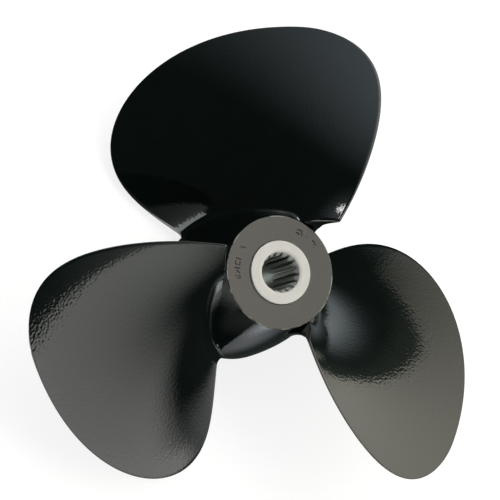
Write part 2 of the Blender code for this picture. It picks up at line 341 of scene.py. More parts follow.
def edge_at(line, run, place):
    """Points of the free edge at these running lengths, and the unit direction inward."""
    pick = [np.stack([np.interp(place + s, run, line[:, k]) for k in range(2)], axis=1)
            for s in (-TANGENT_REACH, 0.0, TANGENT_REACH)]
    spot = pick[1]
    along = pick[2] - pick[0]
    along[:, 1] *= stretch(spot[:, 0])
    along /= np.linalg.norm(along, axis=1)[:, None]
    return spot, np.stack((-along[:, 1], along[:, 0] / stretch(spot[:, 0])), axis=1)


def nose_points(spot, inward, turn):
    """Half ellipse round the free edge, from the pressure face (-90) to the back (+90).

    At each turn angle the point lies inward by rounding * (1 - cos) and off the middle of the
    thickness by half the thickness * sin.
    """
    front, back = face_offsets(spot[:, 0], spot[:, 1])
    rounding = np.minimum(EDGE_ROUND_SHARE * (back - front), EDGE_ROUND)
    inset = rounding[:, None] * (1.0 - np.cos(turn))[None, :]
    place = spot[:, None, :] + inward[:, None, :] * inset[..., None]
    front, back = face_offsets(place[..., 0], place[..., 1])
    offset = 0.5 * (front + back) + 0.5 * (back - front) * np.sin(turn)[None, :]
    return screw_point(place[..., 0], place[..., 1], offset), place


def blade_points():
    """Grid of a blade's skin: rows from the root to the middle of the free edge, loops round it.

    Row k joins the two edge points at the same running length from either end. Its points run
    evenly across in radius and angle, and near the root their radius turns into the hub's
    radius plus the row's length beyond the root place, so that the rows follow the fillets.
    """
    line = free_edge()
    run = run_lengths(line)
    half = 0.5 * run[-1]
    close = np.arange(-ROOT_SINK, CLOSE_REACH, CLOSE_STEP) + ROOT_PLACE
    middle = np.arange(CLOSE_REACH, MIDDLE_REACH, MIDDLE_STEP) + ROOT_PLACE
    far_count = int((half - middle[-1]) / FAR_STEP)
    far = np.linspace(middle[-1], half, far_count + 1)[1:]
    place = np.concatenate(([0.0], close, middle, far))
    turn = np.radians(np.linspace(-90.0, 90.0, NOSE_STEPS))
    trailing, trailing_in = nose_points(*edge_at(line, run, place), turn)
    leading, leading_in = nose_points(*edge_at(line, run, run[-1] - place), turn)
    share = np.linspace(0.0, 1.0, BLADE_COLUMNS + 2)[1:-1]
    first = trailing_in[:, 0]
    last = leading_in[:, 0]
    across = first[:, None, :] + (last - first)[:, None, :] * share[None, :, None]
    beyond = (place - ROOT_PLACE)[:, None]
    follow = np.exp(-((beyond / ROOT_FOLLOW_REACH) ** 2)) * (beyond > ROOT_FOLLOW_FROM)
    level = 1.0 - (2.0 * share - 1.0) ** ROOT_FOLLOW_POWER
    wanted = hub_radius(helix_height(across[..., 1])) + beyond
    radius = across[..., 0] + (wanted - across[..., 0]) * follow * level[None, :]
    front, back = face_offsets(radius, across[..., 1])
    water = screw_point(radius, across[..., 1], front)
    rear = screw_point(radius, across[..., 1], back)
    return np.concatenate((trailing[:, ::-1], water, leading, rear[:, ::-1]), axis=1)


def blade_faces(rows, ring):
    """Triangles between the rows, a strip over the root loop and a seam at the last row.

    The last row has no width: each face's points there become one point, the two edges share
    their points, and the triangles that this leaves without area are dropped.
    """
    index = np.arange(rows * ring).reshape(rows, ring)
    water = NOSE_STEPS
    leading = water + BLADE_COLUMNS
    rear = leading + NOSE_STEPS
    last = index[-1].copy()
    last[water:leading] = last[water - 1]
    last[leading:rear] = last[water - 1 :: -1]
    last[rear:] = last[0]
    index[-1] = last
    after = np.roll(index, -1, axis=1)
    quads = np.stack((after[:-1], index[:-1], index[1:], after[1:]), axis=-1).reshape(-1, 4)
    root = index[0]
    left = root[: ring // 2 + 1]
    right = np.roll(root, -1)[::-1][: ring // 2 + 1]
    strip = np.stack((left[:-1], left[1:], right[1:], right[:-1]), axis=-1)
    quads = np.concatenate((quads, strip))
    pairs = np.concatenate((quads[:, (0, 1, 2)], quads[:, (0, 2, 3)]))
    first, second, third = pairs.T
    return pairs[(first != second) & (second != third) & (first != third)]


def used_only(points, faces):
    """The points that faces use, and the faces numbered by them."""
    used, places = np.unique(faces, return_inverse=True)
    return points[used], places.reshape(faces.shape)


def about_shaft(points, degrees):
    """Points turned about Z: x cos - y sin and x sin + y cos."""
    cosine = math.cos(math.radians(degrees))
    sine = math.sin(math.radians(degrees))
    turn = np.array(((cosine, sine, 0.0), (-sine, cosine, 0.0), (0.0, 0.0, 1.0)))
    return points @ turn


def make_blades(material):
    """Three equal blade skins, one third of a turn apart."""
    grid = blade_points()
    faces = blade_faces(*grid.shape[:2])
    points, faces = used_only(grid.reshape(-1, 3), faces)
    return [
        solid_from(f"blade_{k + 1}", about_shaft(points, 120.0 * k), faces, material)
        for k in range(3)
    ]


# Hub

HUB_SIDES = 640
FACE_ROWS = 52
FLANK_STEPS = 48
SAME_HEIGHT = 1e-7
PUNCH_DEPTH = 0.00030
PUNCH_WIDTH = 0.0014
PUNCH_RADIUS = 0.0336

# Punched bars and dots: angle on the face in degrees, then in millimetres from the punch
# radius there the sideways start and end and the outward start and end

PUNCH_STROKES = (
    (132.0, -1.2, 1.2, -1.8, 1.9),
    (132.0, 1.2, -0.6, 1.9, 0.2),
    (147.0, 0.0, 0.0, -1.9, 1.9),
    (152.5, -1.1, 1.1, 1.7, 1.7),
    (152.5, -1.1, 1.1, -1.7, -1.7),
    (152.5, 1.1, 1.1, -1.7, 1.7),
    (158.5, 0.0, 0.0, -1.9, 1.9),
    (163.0, -1.0, 1.0, 0.0, 1.6),
    (163.0, -1.0, 1.0, 0.0, -1.6),
    (168.5, 0.0, 0.0, -1.9, 1.9),
    (171.0, 0.0, 0.0, -1.9, 0.6),
    (46.0, -1.6, 1.2, -1.6, -1.2),
    (45.0, -1.2, 1.6, 1.7, 1.0),
    (41.0, -0.8, 1.0, -1.6, 1.6),
    (33.0, 0.0, 0.1, 0.0, 0.1),
    (24.0, -1.3, 0.6, 1.7, 1.7),
    (22.0, -1.2, -1.2, -1.6, 1.2),
    (18.5, -0.3, 0.5, -1.8, 1.6),
)


def punch_depth(x, y):
    """Depth of the punched strokes: full on each stroke's line, 0 half a width to its side.

    The distance to a stroke is the distance to the nearest point of its segment, and the depth
    falls with it as 1 - smooth step.
    """
    depth = np.zeros_like(x)
    for angle, side_a, side_b, out_a, out_b in PUNCH_STROKES:
        cosine = math.cos(math.radians(angle))
        sine = math.sin(math.radians(angle))
        ends = []
        for side, out in ((side_a, out_a), (side_b, out_b)):
            along = PUNCH_RADIUS + out * MILLIMETRE
            across = side * MILLIMETRE
            ends.append((along * cosine - across * sine, along * sine + across * cosine))
        (ax, ay), (bx, by) = ends
        length = max((bx - ax) ** 2 + (by - ay) ** 2, 1e-12)
        t = np.clip(((x - ax) * (bx - ax) + (y - ay) * (by - ay)) / length, 0.0, 1.0)
        gap = np.hypot(x - ax - t * (bx - ax), y - ay - t * (by - ay))
        depth = np.maximum(depth, 1.0 - smooth_step(gap / (0.5 * PUNCH_WIDTH)))
    return depth * PUNCH_DEPTH


def hub_profile():
    """Closed (radius, height) profile of the hub, forward rim first and turning outward."""
    low = HUB_FORWARD_ROUND
    high = HUB_LENGTH - HUB_AFT_ROUND
    height = np.linspace(low, high, FLANK_STEPS)[1:-1]
    flank = np.stack((hub_radius(height), height), axis=1)
    aft = HUB_AFT_RADIUS
    face = HUB_LENGTH
    return np.concatenate(
        (
            quarter_round(HUB_FORWARD_RADIUS - low, low, low, -90.0, steps=9),
            flank,
            quarter_round(aft - HUB_AFT_ROUND, high, HUB_AFT_ROUND, 0.0, steps=6),
            straight((aft - HUB_AFT_ROUND, face), (LIP_RADIUS + LIP_ROUND, face), FACE_ROWS),
            quarter_round(LIP_RADIUS + LIP_ROUND, face - LIP_ROUND, LIP_ROUND, 90.0, steps=5),
            [(LIP_RADIUS, face - LIP_DEPTH), (SEAT_RADIUS, face - LIP_DEPTH)],
            [(SEAT_RADIUS, SEAT_CHAMFER), (SEAT_RADIUS + SEAT_CHAMFER, 0.0)],
        )
    )


def make_hub(material):
    """Hub turned about the shaft, its aft face pressed in along the punched strokes."""
    profile = hub_profile()
    angle = np.arange(HUB_SIDES) * 2.0 * math.pi / HUB_SIDES
    points = turned_points(profile[:, :1], profile[:, 1:], angle[None, :])
    on_face = np.abs(points[..., 2] - HUB_LENGTH) < SAME_HEIGHT
    points[..., 2] -= punch_depth(points[..., 0], points[..., 1]) * on_face
    faces = ring_faces(len(profile), HUB_SIDES)
    return solid_from("hub", points.reshape(-1, 3), faces, material)


# Sleeve and rubber

SIDES_PER_TOOTH = 32
GROOVE_SHARE = 0.26
FLANK_SHARE = 0.13
DISH_STEPS = 9
DISH_POWER = 1.6
CONE_STEPS = 14
TOOTH_ROWS = 8
FIRST_TOOTH_ROW = 0.02
SLEEVE_SMOOTH_ANGLE = 32.0
BUSH_SAG = 0.0008
BUSH_STEPS = 14
BUSH_SIDES = 192


def tooth_radius(angle):
    """Bore radius of the teeth: tip radius plus a smooth step to the root radius per flank.

    A groove is centred on angle 0. The share is the distance from a groove's middle in
    pitches, and the flank's foot and width are shares of a pitch too.
    """
    share = np.abs((angle * TEETH / (2.0 * math.pi) + 0.5) % 1.0 - 0.5)
    rise = smooth_step((GROOVE_SHARE - share) / FLANK_SHARE)
    return TOOTH_TIP_RADIUS + (TOOTH_ROOT_RADIUS - TOOTH_TIP_RADIUS) * rise


def make_sleeve(material):
    """Sleeve: round outside, a dished mouth, then the larger of the teeth and a lead-in cone.

    The dish sinks by its dip times the share of its width to a power. The cone's radius falls
    evenly from the teeth's root to their tip, so each tooth starts with a slanted end.
    """
    sides = TEETH * SIDES_PER_TOOTH
    angle = np.arange(sides) * 2.0 * math.pi / sides
    corner = SLEEVE_ROUND
    wall = SLEEVE_RADIUS - corner
    share = np.linspace(0.0, 1.0, DISH_STEPS)
    dish = MOUTH_RADIUS + (TOOTH_ROOT_RADIUS - MOUTH_RADIUS) * share
    outside = np.concatenate(
        (
            quarter_round(wall, SLEEVE_FORWARD + corner, corner, -90.0, steps=5),
            quarter_round(wall, SLEEVE_AFT - corner, corner, 0.0, steps=7),
            straight((wall, SLEEVE_AFT), (MOUTH_RADIUS, SLEEVE_AFT), steps=6),
            np.stack((dish, SLEEVE_AFT - MOUTH_DIP * share**DISH_POWER), axis=1),
        )
    )
    round_rows = turned_points(outside[:, :1], outside[:, 1:], angle[None, :])
    fall = np.linspace(0.0, 1.0, CONE_STEPS + 1)[1:]
    cone = TOOTH_ROOT_RADIUS + (TOOTH_TIP_RADIUS - TOOTH_ROOT_RADIUS) * fall
    cone_end = MOUTH_DIP + LEAD_IN
    deep = cone_end + (TOOTHED_LENGTH - cone_end) * np.linspace(FIRST_TOOTH_ROW, 1.0, TOOTH_ROWS)
    depth = np.concatenate((MOUTH_DIP + LEAD_IN * fall, deep))[:, None]
    cone = np.concatenate((cone, np.full(TOOTH_ROWS, TOOTH_TIP_RADIUS)))[:, None]
    bore = np.maximum(tooth_radius(angle)[None, :], cone)
    teeth_rows = turned_points(bore, SLEEVE_AFT - depth, angle[None, :])
    step = SLEEVE_AFT - TOOTHED_LENGTH
    inner = COUNTERBORE_RADIUS
    low = SLEEVE_FORWARD
    rest = np.array(((inner, step), (inner, low + corner), (inner + corner, low)))
    rest_rows = turned_points(rest[:, :1], rest[:, 1:], angle[None, :])
    points = np.concatenate((round_rows, teeth_rows, rest_rows))
    faces = ring_faces(len(points), sides)
    return solid_from("sleeve", points.reshape(-1, 3), faces, material, SLEEVE_SMOOTH_ANGLE)


def make_bush(material):
    """Rubber ring whose aft and forward ends sag between its walls as half a sine wave."""
    inner = SLEEVE_RADIUS + GAP
    outer = SEAT_RADIUS - GAP
    top = HUB_LENGTH - LIP_DEPTH - GAP
    share = np.linspace(0.0, 1.0, BUSH_STEPS)
    across = inner + (outer - inner) * share
    sag = BUSH_SAG * np.sin(math.pi * share)
    forward = np.stack((across, BUSH_FORWARD + sag), axis=1)
    aft = np.stack((across, top - sag), axis=1)[::-1]
    profile = np.concatenate((forward, aft))
    angle = np.arange(BUSH_SIDES) * 2.0 * math.pi / BUSH_SIDES
    points = turned_points(profile[:, :1], profile[:, 1:], angle[None, :])
    faces = ring_faces(len(profile), BUSH_SIDES)
    return solid_from("rubber_ring", points.reshape(-1, 3), faces, material)


# Materials

# Widths of the patterns' cells in millimetres

PAINT_WAVE = 16.67
PAINT_PEEL = 1.923
PAINT_PATCH = 16.67
HUB_CLOUD = 13.33
TOOL_RING = 1.111
ALLOY_GRAIN = 1.111
ALLOY_CLOUD = 9.091
RUBBER_GRAIN = 0.8333

# Heights of the bumps and the places where the finishes change, in metres: across Y for the
# flow and the painted light in the bore, along Z for the face, the marks and the bore, and from
# the shaft's axis for the rim's painted highlight, the painted shade in the grooves and the pale
# turned metal

PAINT_WAVE_HEIGHT = 0.00003
PAINT_PEEL_HEIGHT = 0.00007
ALLOY_GRAIN_HEIGHT = 0.00002
RUBBER_GRAIN_HEIGHT = 0.00005
FLOWED_FROM, FLOWED_TO = 0.020, 0.045
FACE_DEEPEST, FACE_SHALLOWEST = HUB_LENGTH - 0.0006, HUB_LENGTH - 0.0004
MARK_FLOOR, MARK_RIM = HUB_LENGTH - 0.00020, HUB_LENGTH - 0.00004
RIM_HIGHLIGHT_RADIUS, RIM_HIGHLIGHT_HALF_WIDTH = HUB_AFT_RADIUS - 0.0004, 0.00035
RIM_HIGHLIGHT_FROM = HUB_LENGTH - 0.0009
GROOVE_SHADE_FROM, GROOVE_SHADE_TO = TOOTH_TIP_RADIUS + 0.0001, TOOTH_TIP_RADIUS + 0.0009
PAINTED_LIGHT_FULL, PAINTED_LIGHT_LEAST = -0.014, -0.006
PLAIN_BORE_TOP = SLEEVE_AFT - TOOTHED_LENGTH + 0.0001
PALE_FROM, PALE_TO = TOOTH_ROOT_RADIUS - 0.0004, TOOTH_ROOT_RADIUS + 0.0004
TOOTH_END = SLEEVE_AFT - MOUTH_DIP - LEAD_IN
TOOTH_END_BLUR = 0.001


def linear(code):
    """Linear colour, opaque, of an sRGB hex code such as 1a2b3c."""
    parts = [int(code[k : k + 2], 16) / 255.0 for k in (0, 2, 4)]
    light = [p / 12.92 if p <= 0.04045 else ((p + 0.055) / 1.055) ** 2.4 for p in parts]
    return (*light, 1.0)


def cells(millimetres):
    """Noise scale that makes cells this wide: 1 over their width in metres."""
    return 1.0 / (millimetres * MILLIMETRE)


def add(tree, kind, inputs=None, **settings):
    """Add one node with its settings; inputs hold constants or (node, output) links."""
    node = tree.nodes.new(kind)
    for name, value in settings.items():
        setattr(node, name, value)
    for name, value in (inputs or {}).items():
        if isinstance(value, tuple) and hasattr(value[0], "outputs"):
            tree.links.new(value[0].outputs[value[1]], node.inputs[name])
        else:
            node.inputs[name].default_value = value
    return node


def blank_material(name):
    """A material with an empty tree but for its output."""
    material = bpy.data.materials.new(name)
    material.use_nodes = True
    tree = material.node_tree
    tree.nodes.clear()
    return material, tree, tree.nodes.new("ShaderNodeOutputMaterial")


def axis_distance(tree, place):
    """Distance from the shaft's axis, of object coordinates."""
    flat = add(tree, "ShaderNodeVectorMath", {0: (place, "Object"), 1: (1.0, 1.0, 0.0)},
               operation="MULTIPLY")
    return add(tree, "ShaderNodeVectorMath", {0: (flat, 0)}, operation="LENGTH")


def peel_bump(tree, place, strength):
    """Orange peel: ripples of 3 to 4 mm, some hundredths of a millimetre deep, on wider waves.

    The ripples fray the borders of what the gloss reflects, as sprayed enamel does.
    """
    wave = add(tree, "ShaderNodeTexNoise",
               {"Vector": (place, "Object"), "Scale": cells(PAINT_WAVE), "Detail": 1.0})
    peel = add(tree, "ShaderNodeTexNoise",
               {"Vector": (place, "Object"), "Scale": cells(PAINT_PEEL), "Detail": 0.6,
                "Roughness": 0.5})
    low = add(tree, "ShaderNodeBump",
              {"Strength": strength, "Distance": PAINT_WAVE_HEIGHT, "Height": (wave, "Fac")})
    return add(tree, "ShaderNodeBump",
               {"Strength": strength, "Distance": PAINT_PEEL_HEIGHT, "Height": (peel, "Fac"),
                "Normal": (low, "Normal")})


def black_paint():
    """Gloss black enamel sprayed over a fine cast skin: deep black with an orange-peel gloss.

    It flowed out smoother on the blade at +Y.
    """
    material, tree, output = blank_material("gloss_black_enamel_on_casting")
    place = add(tree, "ShaderNodeTexCoord")
    patch = add(tree, "ShaderNodeTexNoise",
                {"Vector": (place, "Object"), "Scale": cells(PAINT_PATCH), "Detail": 4.0})
    colour = add(tree, "ShaderNodeMix", {"Factor": (patch, "Fac"), "A": linear("030807"),
                 "B": linear("0a0f0d")}, data_type="RGBA")
    dull = add(tree, "ShaderNodeMapRange",
               {"Value": (patch, "Fac"), "From Min": 0.3, "From Max": 0.7,
                "To Min": 0.03, "To Max": 0.06})
    split = add(tree, "ShaderNodeSeparateXYZ", {"Vector": (place, "Object")})
    flowed = add(tree, "ShaderNodeMapRange",
                 {"Value": (split, "Y"), "From Min": FLOWED_FROM, "From Max": FLOWED_TO,
                  "To Min": 1.0, "To Max": 0.4})
    bump = peel_bump(tree, place, (flowed, "Result"))
    shader = add(tree, "ShaderNodeBsdfPrincipled",
                 {"Base Color": (colour, "Result"), "Roughness": (dull, "Result"),
                  "Normal": (bump, "Normal"), "IOR": 1.5})
    tree.links.new(shader.outputs["BSDF"], output.inputs["Surface"])
    return material


def hub_paint():
    """The same enamel on the hub; on its turned aft face it is thin, brownish and duller.

    The face's tool rings show through as faint changes of gloss, drawn about a millimetre
    apart because the real ones are too fine to show. The face is painted lighter towards -X:
    painted light across it. The enamel has pooled dark in the punched marks, and a pale line is
    painted along parts of the rim: a painted highlight on its edge.
    """
    material, tree, output = blank_material("gloss_black_enamel_thin_on_turned_hub")
    place = add(tree, "ShaderNodeTexCoord")
    radius = axis_distance(tree, place)
    split = add(tree, "ShaderNodeSeparateXYZ", {"Vector": (place, "Object")})
    on_face = add(tree, "ShaderNodeMapRange",
                  {"Value": (split, "Z"), "From Min": FACE_DEEPEST,
                   "From Max": FACE_SHALLOWEST})
    cloud = add(tree, "ShaderNodeTexNoise",
                {"Vector": (place, "Object"), "Scale": cells(HUB_CLOUD), "Detail": 4.0,
                 "Roughness": 0.6})
    rings = add(tree, "ShaderNodeTexNoise",
                {"W": (radius, "Value"), "Scale": cells(TOOL_RING), "Detail": 1.0},
                noise_dimensions="1D")
    thin = add(tree, "ShaderNodeMapRange",
               {"Value": (cloud, "Fac"), "From Min": 0.35, "From Max": 0.65})
    # Painted light: the face's colour grows lighter towards -X, over the random thin patches.
    painted_light_towards_minus_x = add(tree, "ShaderNodeMath", {0: (split, "X"), 1: -9.0, 2: (thin, "Result")},
                  operation="MULTIPLY_ADD")
    thin_and_painted_light = add(tree, "ShaderNodeMix", {"Factor": (painted_light_towards_minus_x, 0), "A": linear("100d0c"),
               "B": linear("2b2723")}, data_type="RGBA")
    level = add(tree, "ShaderNodeMapRange",
                {"Value": (split, "Z"), "From Min": MARK_FLOOR, "From Max": MARK_RIM})
    marked = add(tree, "ShaderNodeMix", {"Factor": (level, "Result"), "A": linear("0a0908"),
                 "B": (thin_and_painted_light, "Result")}, data_type="RGBA")
    painted = add(tree, "ShaderNodeMix", {"Factor": (on_face, "Result"), "A": linear("060b0a"),
                  "B": (marked, "Result")}, data_type="RGBA")
    # Painted highlight: a patchy pale line along the aft rim, where its edge catches light.
    corner = add(tree, "ShaderNodeMath",
                 {0: (radius, "Value"), 1: RIM_HIGHLIGHT_RADIUS, 2: RIM_HIGHLIGHT_HALF_WIDTH},
                 operation="COMPARE")
    high = add(tree, "ShaderNodeMath", {0: (split, "Z"), 1: RIM_HIGHLIGHT_FROM},
               operation="GREATER_THAN")
    rim = add(tree, "ShaderNodeMath", {0: (corner, 0), 1: (high, 0)}, operation="MULTIPLY")
    patchy = add(tree, "ShaderNodeMapRange",
                 {"Value": (cloud, "Fac"), "From Min": 0.47, "From Max": 0.60})
    painted_rim_highlight = add(tree, "ShaderNodeMath", {0: (rim, 0), 1: (patchy, "Result")},
                  operation="MULTIPLY")
    colour = add(tree, "ShaderNodeMix", {"Factor": (painted_rim_highlight, 0), "A": (painted, "Result"),
                 "B": linear("7c7f78")}, data_type="RGBA")
    mottle = add(tree, "ShaderNodeMapRange",
                 {"Value": (cloud, "Fac"), "From Min": 0.3, "From Max": 0.7,
                  "To Min": 0.20, "To Max": 0.34})
    ringed = add(tree, "ShaderNodeMath", {0: (rings, "Fac"), 1: 0.10, 2: (mottle, "Result")},
                 operation="MULTIPLY_ADD")
    dull = add(tree, "ShaderNodeMix", {"Factor": (on_face, "Result"), "A": 0.07,
               "B": (ringed, 0)}, data_type="FLOAT")
    rough_cast = add(tree, "ShaderNodeMath", {0: (on_face, "Result"), 1: -0.8, 2: 1.0},
                     operation="MULTIPLY_ADD")
    bump = peel_bump(tree, place, (rough_cast, 0))
    shader = add(tree, "ShaderNodeBsdfPrincipled",
                 {"Base Color": (colour, "Result"), "Roughness": (dull, "Result"),
                  "Normal": (bump, "Normal"), "IOR": 1.5})
    tree.links.new(shader.outputs["BSDF"], output.inputs["Surface"])
    return material


def pale_alloy():
    """Zinc-pale alloy: off-white turned face, mouth and tooth ends, dull grey broached bore.

    The grooves are painted darker than the teeth: painted shade in the recesses. Towards -Y the
    bore is painted brighter: painted light where light falls in. Below the teeth the plain bore is
    painted one flat mid grey: painted shade deep in the bore. The grain is drawn coarser than
    the tool marks, which are too fine to show.
    """
    material, tree, output = blank_material("turned_and_broached_alloy")
    place = add(tree, "ShaderNodeTexCoord")
    radius = axis_distance(tree, place)
    split = add(tree, "ShaderNodeSeparateXYZ", {"Vector": (place, "Object")})
    grain = add(tree, "ShaderNodeTexNoise",
                {"Vector": (place, "Object"), "Scale": cells(ALLOY_GRAIN), "Detail": 3.0})
    cloud = add(tree, "ShaderNodeTexNoise",
                {"Vector": (place, "Object"), "Scale": cells(ALLOY_CLOUD), "Detail": 3.0})
    face = add(tree, "ShaderNodeMix", {"Factor": (cloud, "Fac"), "A": linear("a2a09f"),
               "B": linear("b4b2b1")}, data_type="RGBA")
    teeth = add(tree, "ShaderNodeMix", {"Factor": (grain, "Fac"), "A": linear("8b9088"),
                "B": linear("b0b4ad")}, data_type="RGBA")
    # Painted shade: the grooves between the teeth are painted dark.
    painted_groove_shade = add(tree, "ShaderNodeMapRange",
                  {"Value": (radius, "Value"), "From Min": GROOVE_SHADE_FROM, "From Max": GROOVE_SHADE_TO})
    bore = add(tree, "ShaderNodeMix", {"Factor": (painted_groove_shade, "Result"), "A": (teeth, "Result"),
               "B": linear("33352f")}, data_type="RGBA")
    # Painted light: the bore is painted brighter towards -Y, where light falls into it.
    painted_light_towards_minus_y = add(tree, "ShaderNodeMapRange",
                {"Value": (split, "Y"), "From Min": PAINTED_LIGHT_FULL, "From Max": PAINTED_LIGHT_LEAST,
                 "To Min": 0.6, "To Max": 0.0})
    bore_with_painted_light = add(tree, "ShaderNodeMix", {"Factor": (painted_light_towards_minus_y, "Result"), "A": (bore, "Result"),
                "B": linear("dcdedc")}, data_type="RGBA")
    # Painted shade: deep in the bore, below the teeth, the plain bore takes one flat mid grey.
    plain_bore = add(tree, "ShaderNodeMath", {0: (split, "Z"), 1: PLAIN_BORE_TOP},
                     operation="LESS_THAN")
    inside = add(tree, "ShaderNodeMix", {"Factor": (plain_bore, 0), "A": (bore_with_painted_light, "Result"),
                 "B": linear("8f938a")}, data_type="RGBA")
    outward = add(tree, "ShaderNodeMapRange",
                  {"Value": (radius, "Value"), "From Min": PALE_FROM, "From Max": PALE_TO})
    tooth_ends = add(tree, "ShaderNodeMapRange",
                     {"Value": (split, "Z"), "From Min": TOOTH_END - TOOTH_END_BLUR,
                      "From Max": TOOTH_END + TOOTH_END_BLUR})
    pale = add(tree, "ShaderNodeMath", {0: (outward, "Result"), 1: (plain_bore, 0)},
               operation="SUBTRACT", use_clamp=True)
    turned = add(tree, "ShaderNodeMath", {0: (pale, 0), 1: (tooth_ends, "Result")},
                 operation="MAXIMUM")
    colour = add(tree, "ShaderNodeMix", {"Factor": (turned, 0), "A": (inside, "Result"),
                 "B": (face, "Result")}, data_type="RGBA")
    bump = add(tree, "ShaderNodeBump",
               {"Strength": 1.0, "Distance": ALLOY_GRAIN_HEIGHT, "Height": (grain, "Fac")})
    shader = add(tree, "ShaderNodeBsdfPrincipled",
                 {"Base Color": (colour, "Result"), "Roughness": 0.45, "Metallic": 0.2,
                  "Normal": (bump, "Normal")})
    tree.links.new(shader.outputs["BSDF"], output.inputs["Surface"])
    return material


def moulded_rubber():
    """Black rubber, moulded against a rough tool: matt and dark grey.

    Its grain is drawn coarser than the tool's, which is too fine to show.
    """
    material, tree, output = blank_material("black_moulded_rubber_ring")
    place = add(tree, "ShaderNodeTexCoord")
    grain = add(tree, "ShaderNodeTexNoise",
                {"Vector": (place, "Object"), "Scale": cells(RUBBER_GRAIN), "Detail": 3.0})
    colour = add(tree, "ShaderNodeMix", {"Factor": (grain, "Fac"), "A": linear("101010"),
                 "B": linear("1c1c1b")}, data_type="RGBA")
    bump = add(tree, "ShaderNodeBump",
               {"Strength": 1.0, "Distance": RUBBER_GRAIN_HEIGHT, "Height": (grain, "Fac")})
    shader = add(tree, "ShaderNodeBsdfPrincipled",
                 {"Base Color": (colour, "Result"), "Roughness": 0.75, "IOR": 1.5,
                  "Normal": (bump, "Normal")})
    tree.links.new(shader.outputs["BSDF"], output.inputs["Surface"])
    return material


def glowing(name, colour, light, roughness):
    """A stage material without gloss that also gives off near-white light of this strength."""
    material, tree, output = blank_material(name)
    shader = add(tree, "ShaderNodeBsdfPrincipled",
                 {"Base Color": linear(colour), "Roughness": roughness,
                  "Specular IOR Level": 0.0, "Emission Color": linear("f6f6f6"),
                  "Emission Strength": light})
    tree.links.new(shader.outputs["BSDF"], output.inputs["Surface"])
    return material


def floor_paint():
    """Matt white lacquered board: plain, pale and without gloss."""
    return glowing("matt_white_floor", "8c8c8c", 0.88, 0.9)


def backdrop_paint():
    """Lit white paper: the same pale tone from every side."""
    return glowing("white_paper_backdrop", "f6f6f6", 1.0, 1.0)


# Studio

# A direction (x, y, z) of the sky lies at (x, y) / (1 + z) on a plane, and one of the ground at
# (x, y) / (1 - z). A board's borders are (turn in degrees, place, softness), and a glow has a
# middle and a reach, all on that plane. The comments say where the camera sees them mirrored.

BOARDS = (
    # Blade 3: the outer half, its leading edge and a dim surround
    (2.8, "fff9ea", ((11, 0.105, 0.03), (-106.8, -0.482, 0.012), (-120, -0.685, 0.02),
                     (180, -1.22, 0.63), (-90, -0.332, 0.316), (90, -0.24, 0.012))),
    (2.8, "fff9ea", ((11, 0.105, 0.03), (-144, -0.675, 0.012), (73.2, 0.482, 0.012),
                     (-55.6, -0.20, 0.025), (-90, -0.332, 0.316))),
    (0.24, "dfe8d2", ((11, 0.105, 0.03), (-112, -0.62, 0.07), (180, -1.22, 0.63),
                      (-90, -0.66, 0.10), (90, -0.24, 0.012))),
    # Blade 2: the outer half and the tip
    (4.0, "fffffa", ((-45, 0.377, 0.012), (180, -0.654, 0.117), (89, -0.462, 0.509),
                     (-90, 0.36, 0.02))),
    (2.87, "fffffa", ((-45, 0.377, 0.012), (90, -0.36, 0.02), (-90, 0.24, 0.012),
                      (180, -0.703, 0.079))),
    # Blade 1: the bright patch by the root
    (3.5, "f5fffb", ((-119, 0.535, 0.012), (159.4, 0.441, 0.012), (90, -0.85, 0.15))),
    (3.3, "f5fffb", ((-143, 0.72, 0.02), (-20.6, -0.441, 0.012), (90, -0.85, 0.15))),
    # Blade 3: beside the hub
    (1.2, "eef9ff", ((0, 0.87, 0.237), (71, 0.791, 0.198), (-115, -1.191, 0.047),
                     (180, -2.0, 1.5))),
    # Blade 2: the line along its trailing edge
    (6.0, "fffdf8", ((0, 0.05, 0.02), (180, -0.21, 0.02), (90, 0.46, 0.06),
                     (-90, -0.78, 0.06))),
    # Blade 2: towards the leading edge
    (0.8, "fbffff", ((78, -0.25, 0.10), (0, 0.73, 0.10), (-90, 0.22, 0.02))),
)
SKY_GLOWS = (
    # Blade 1: the face towards the trailing edge, and the root there with its spark
    (1.57, "e6f4ff", (0.10, 0.28), 0.40),
    (0.80, "f4fbff", (0.0, 1.0), 0.36),
    (18.0, "ffffff", (-0.095, 0.91), 0.07),
    # Blade 2: beside the hub
    (1.30, "fafff6", (-0.06, -0.78), 0.50),
    # Rounded edges
    (2.4, "fafff6", (-0.66, -0.72), 0.40),
)
GROUND_GLOWS = (
    # The hub's flank and the fillets on it
    (2.2, "f4f8ff", (-0.06, -0.44), 0.14),
    (0.55, "f4f8ff", (0.02, -0.34), 0.17),
    (3.5, "fafff6", (-0.48, -0.42), 0.32),
)
DIM_LIGHT = (0.036, 0.044, 0.042)
POLE_MARGIN = 1.0001


def make_camera():
    """Camera on the photograph's line of sight to the hub's aft face, with its small shift."""
    data = bpy.data.cameras.new("photo_camera")
    data.sensor_width = SENSOR
    data.lens = FOCAL_PIXELS / FRAME_SIDE * SENSOR
    data.shift_x = -(HUB_PIXEL[0] - FRAME_SIDE / 2) / FRAME_SIDE
    data.shift_y = (HUB_PIXEL[1] - FRAME_SIDE / 2) / FRAME_SIDE
    data.clip_end = CAMERA_REACH
    right = np.array(CAMERA_RIGHT) / np.linalg.norm(CAMERA_RIGHT)
    back = np.cross(right, CAMERA_UP)
    back /= np.linalg.norm(back)
    up = np.cross(back, right)
    place = np.array((0.0, 0.0, HUB_LENGTH)) + back * CAMERA_DISTANCE
    matrix = np.eye(4)
    matrix[:3, :3] = np.stack((right, up, back), axis=1)
    matrix[:3, 3] = place
    camera = bpy.data.objects.new("photo_camera", data)
    camera.matrix_world = Matrix(matrix.tolist())
    bpy.context.scene.collection.objects.link(camera)
    bpy.context.scene.camera = camera


